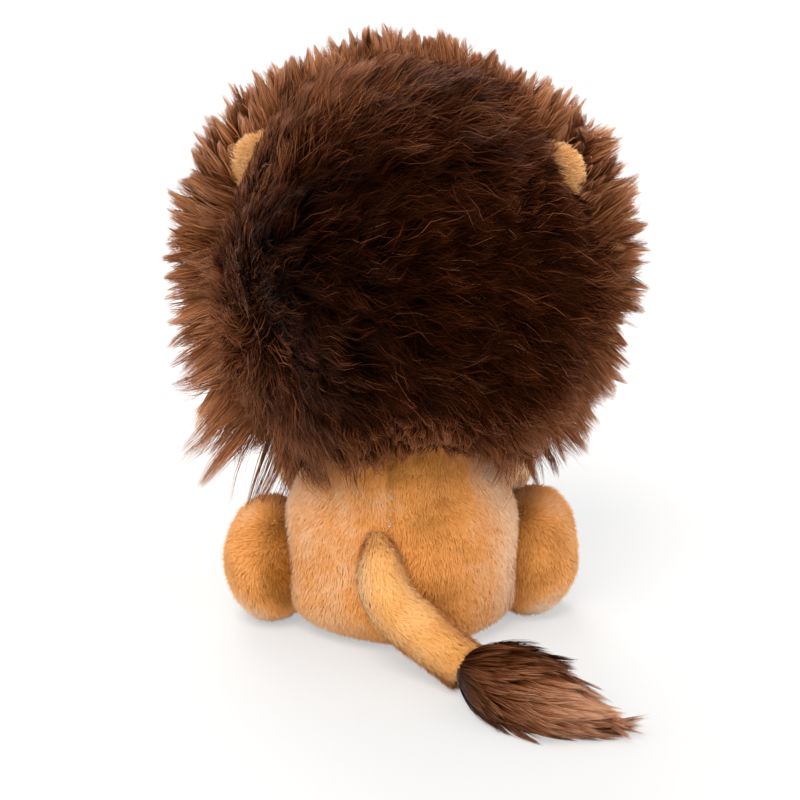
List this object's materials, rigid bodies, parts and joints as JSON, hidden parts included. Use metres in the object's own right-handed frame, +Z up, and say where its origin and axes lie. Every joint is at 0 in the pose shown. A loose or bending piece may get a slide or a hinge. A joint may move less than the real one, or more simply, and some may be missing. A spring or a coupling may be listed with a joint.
{
  "type": "plush lion",
  "caption": "Seated stuffed lion with a large ball head inside a deep long-pile mane, a pear body, four stub limbs and a tail that lies on the floor and ends in a tuft.",
  "frame": {"origin": "middle of the flat seat, on the surface that the toy sits on", "axes": "+Z up, -Y towards the face, +X to the toy's own left"},
  "size_m": [0.1775, 0.1739, 0.2381],
  "materials": {
    "tan_plush": "matte",
    "tail_plush": "matte",
    "cream_plush": "matte",
    "hood_pile": "matte",
    "ruff_pile": "matte",
    "tuft_pile": "matte",
    "stuffing": "matte",
    "cotton_bag": "matte",
    "nose_satin": "satin",
    "mouth_thread": "satin",
    "eye_plastic": "gloss",
    "washer_plastic": "matte"
  },
  "bodies": {
    "torso": {"body_skin": "tan_plush", "body_stuffing": "stuffing", "pellet_bag": "cotton_bag"},
    "head": {"head_skin": "tan_plush", "head_stuffing": "stuffing", "mane_hood": "hood_pile", "mane_ruff": "ruff_pile", "ear_left": "tan_plush", "ear_right": "tan_plush", "ear_lining_left": "cream_plush", "ear_lining_right": "cream_plush", "muzzle": "cream_plush", "chin": "cream_plush", "nose": "nose_satin", "mouth_stitch": "mouth_thread", "eye_left": "eye_plastic", "eye_right": "eye_plastic", "eye_washer_left": "washer_plastic", "eye_washer_right": "washer_plastic"},
    "foreleg_left": {"foreleg_left": "tan_plush", "foreleg_stuffing_left": "stuffing"},
    "foreleg_right": {"foreleg_right": "tan_plush", "foreleg_stuffing_right": "stuffing"},
    "hind_leg_left": {"hind_leg_left": "tan_plush", "hind_leg_stuffing_left": "stuffing", "sole_pad_left": "cream_plush"},
    "hind_leg_right": {"hind_leg_right": "tan_plush", "hind_leg_stuffing_right": "stuffing", "sole_pad_right": "cream_plush"},
    "tail": {"tail_sleeve": "tail_plush", "tail_stuffing": "stuffing"},
    "tuft": {"tail_tuft": "tuft_pile"}
  },
  "joints": [
    {"name": "head_turn", "type": "hinge", "parent": "torso", "child": "head", "pos_m": [0, 0, 0.1017], "axis": [0, 0, 1], "range_deg": [-20, 20], "stiffness_Nm_per_rad": 0.06},
    {"name": "foreleg_left_lift", "type": "hinge", "parent": "torso", "child": "foreleg_left", "pos_m": [0.038, -0.014, 0.07], "axis": [-1, 0, 0], "range_deg": [0, 45]},
    {"name": "foreleg_right_lift", "type": "hinge", "parent": "torso", "child": "foreleg_right", "pos_m": [-0.038, -0.014, 0.07], "axis": [-1, 0, 0], "range_deg": [0, 45]},
    {"name": "hind_leg_left_splay", "type": "hinge", "parent": "torso", "child": "hind_leg_left", "pos_m": [0.04, 0.002, 0.021], "axis": [0, 0, 1], "range_deg": [-8, 14], "stiffness_Nm_per_rad": 0.03},
    {"name": "hind_leg_right_splay", "type": "hinge", "parent": "torso", "child": "hind_leg_right", "pos_m": [-0.04, 0.002, 0.021], "axis": [0, 0, -1], "range_deg": [-8, 14], "stiffness_Nm_per_rad": 0.03},
    {"name": "tail_swing", "type": "hinge", "parent": "torso", "child": "tail", "pos_m": [0.003, 0.04, 0.046], "axis": [0, 0, 1], "range_deg": [-18, 18], "stiffness_Nm_per_rad": 0.02},
    {"name": "tuft_sway", "type": "hinge", "parent": "tail", "child": "tuft", "pos_m": [-0.035, 0.066, 0.0088], "axis": [0, 0, 1], "range_deg": [-20, 20], "stiffness_Nm_per_rad": 0.004}
  ]
}
